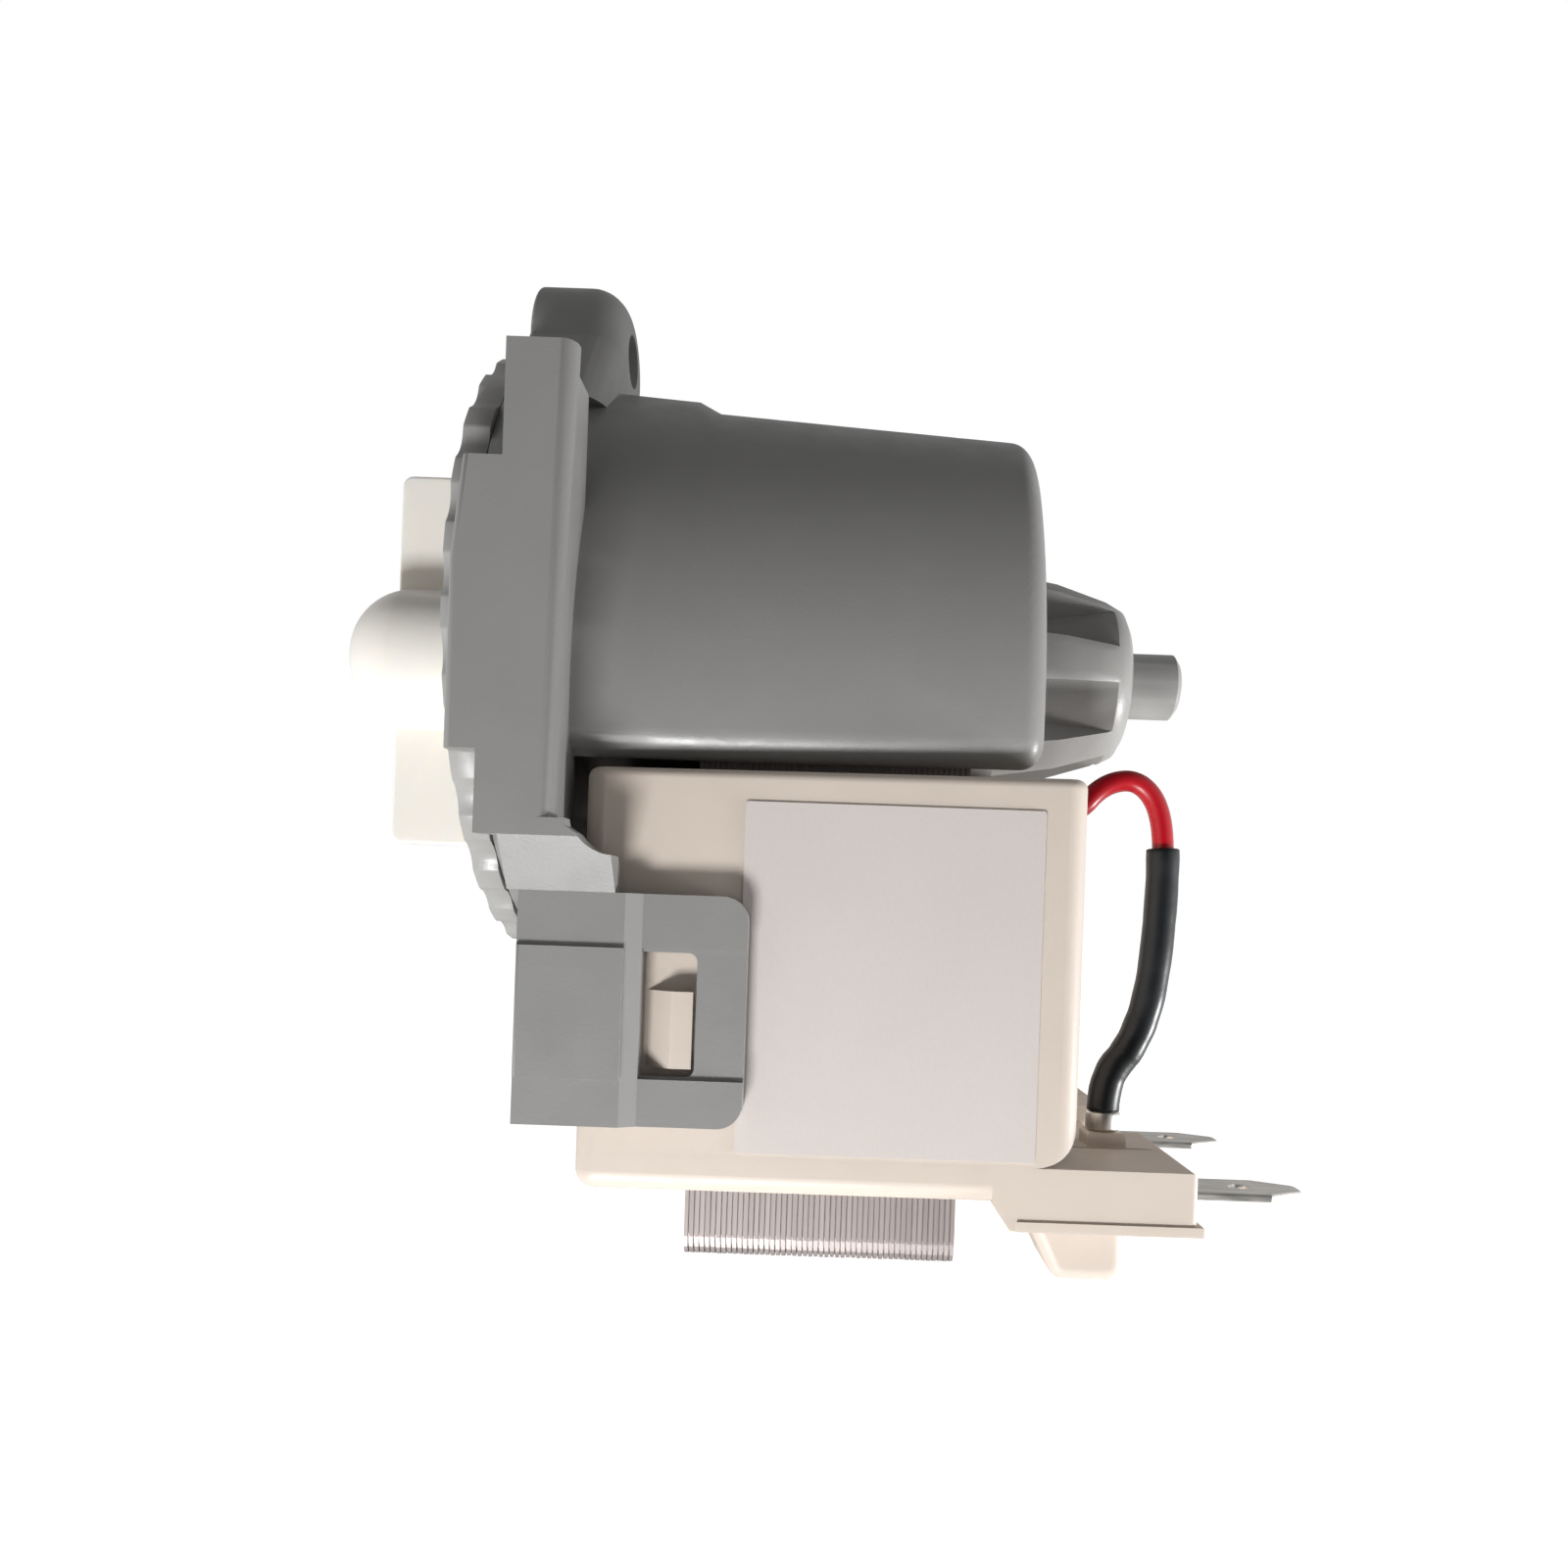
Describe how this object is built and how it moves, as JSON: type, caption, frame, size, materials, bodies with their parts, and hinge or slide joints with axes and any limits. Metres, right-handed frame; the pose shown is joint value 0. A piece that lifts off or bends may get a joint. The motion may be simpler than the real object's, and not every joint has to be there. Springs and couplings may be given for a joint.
{
  "type": "dishwasher drain pump",
  "caption": "Dishwasher drain pump: flanged synchronous motor with a U-shaped stator core, rotor chamber, spade terminals and a two-vane impeller.",
  "frame": {"origin": "on the rotor axis, in the plane of the front plate's front face", "axes": "+X along the rotor axis from the impeller towards the terminals, +Z towards the screw ear, -Y towards the side with the blank label"},
  "size_m": [0.1019, 0.066, 0.1005],
  "materials": {
    "housing_grey": "moulded glass-filled plastic, satin",
    "plate_grey": "moulded plastic, satin",
    "cream_plastic": "moulded plastic, satin",
    "impeller_white": "moulded natural plastic, slightly translucent",
    "steel_sheets": "stacked electrical steel, cut edges",
    "tinned_brass": "tin plated, satin",
    "copper_wire": "enamelled copper wire",
    "black_rubber": "matt",
    "bearing_ceramic": "ground",
    "bobbin_plastic": "moulded",
    "protector_case": "moulded",
    "red_insulation": "smooth insulation",
    "black_sleeve": "smooth sleeve",
    "crimp_metal": "tin plated, satin",
    "label_paper": "blank, satin",
    "stainless_shaft": "ground",
    "ferrite": "pressed and ground",
    "washer_plastic": "smooth"
  },
  "bodies": {
    "stator": {"front_plate": "plate_grey", "sealing_ring": "black_rubber", "motor_housing": "housing_grey", "rotor_chamber": "plate_grey", "chamber_seal": "black_rubber", "shaft_seal": "black_rubber", "front_bearing": "bearing_ceramic", "front_bearing_cushion": "black_rubber", "rear_bearing": "bearing_ceramic", "rear_bearing_cushion": "black_rubber", "stator_core": "steel_sheets", "near_bobbin": "bobbin_plastic", "far_bobbin": "bobbin_plastic", "near_winding": "copper_wire", "far_winding": "copper_wire", "coil_cover": "cream_plastic", "coil_base": "cream_plastic", "near_terminal": "tinned_brass", "far_terminal": "tinned_brass", "thermal_protector": "protector_case", "protector_lead": "red_insulation", "lead_sleeve": "black_sleeve", "lead_crimp": "crimp_metal", "blank_label": "label_paper"},
    "rotor": {"rotor_shaft": "stainless_shaft", "rotor_magnet": "ferrite", "magnet_carrier": "bobbin_plastic", "front_thrust_washer": "washer_plastic", "rear_thrust_washer": "washer_plastic", "coupling_driver": "bobbin_plastic"},
    "impeller": {"impeller": "impeller_white", "impeller_cap": "impeller_white", "impeller_dampers": "black_rubber"}
  },
  "joints": [
    {"name": "rotor_spin", "type": "hinge", "parent": "stator", "child": "rotor", "pos_m": [0.03, 0, 0], "axis": [1, 0, 0], "continuous": true},
    {"name": "impeller_lash", "type": "hinge", "parent": "rotor", "child": "impeller", "pos_m": [-0.008, 0, 0], "axis": [1, 0, 0], "range_deg": [-122, 122]}
  ]
}
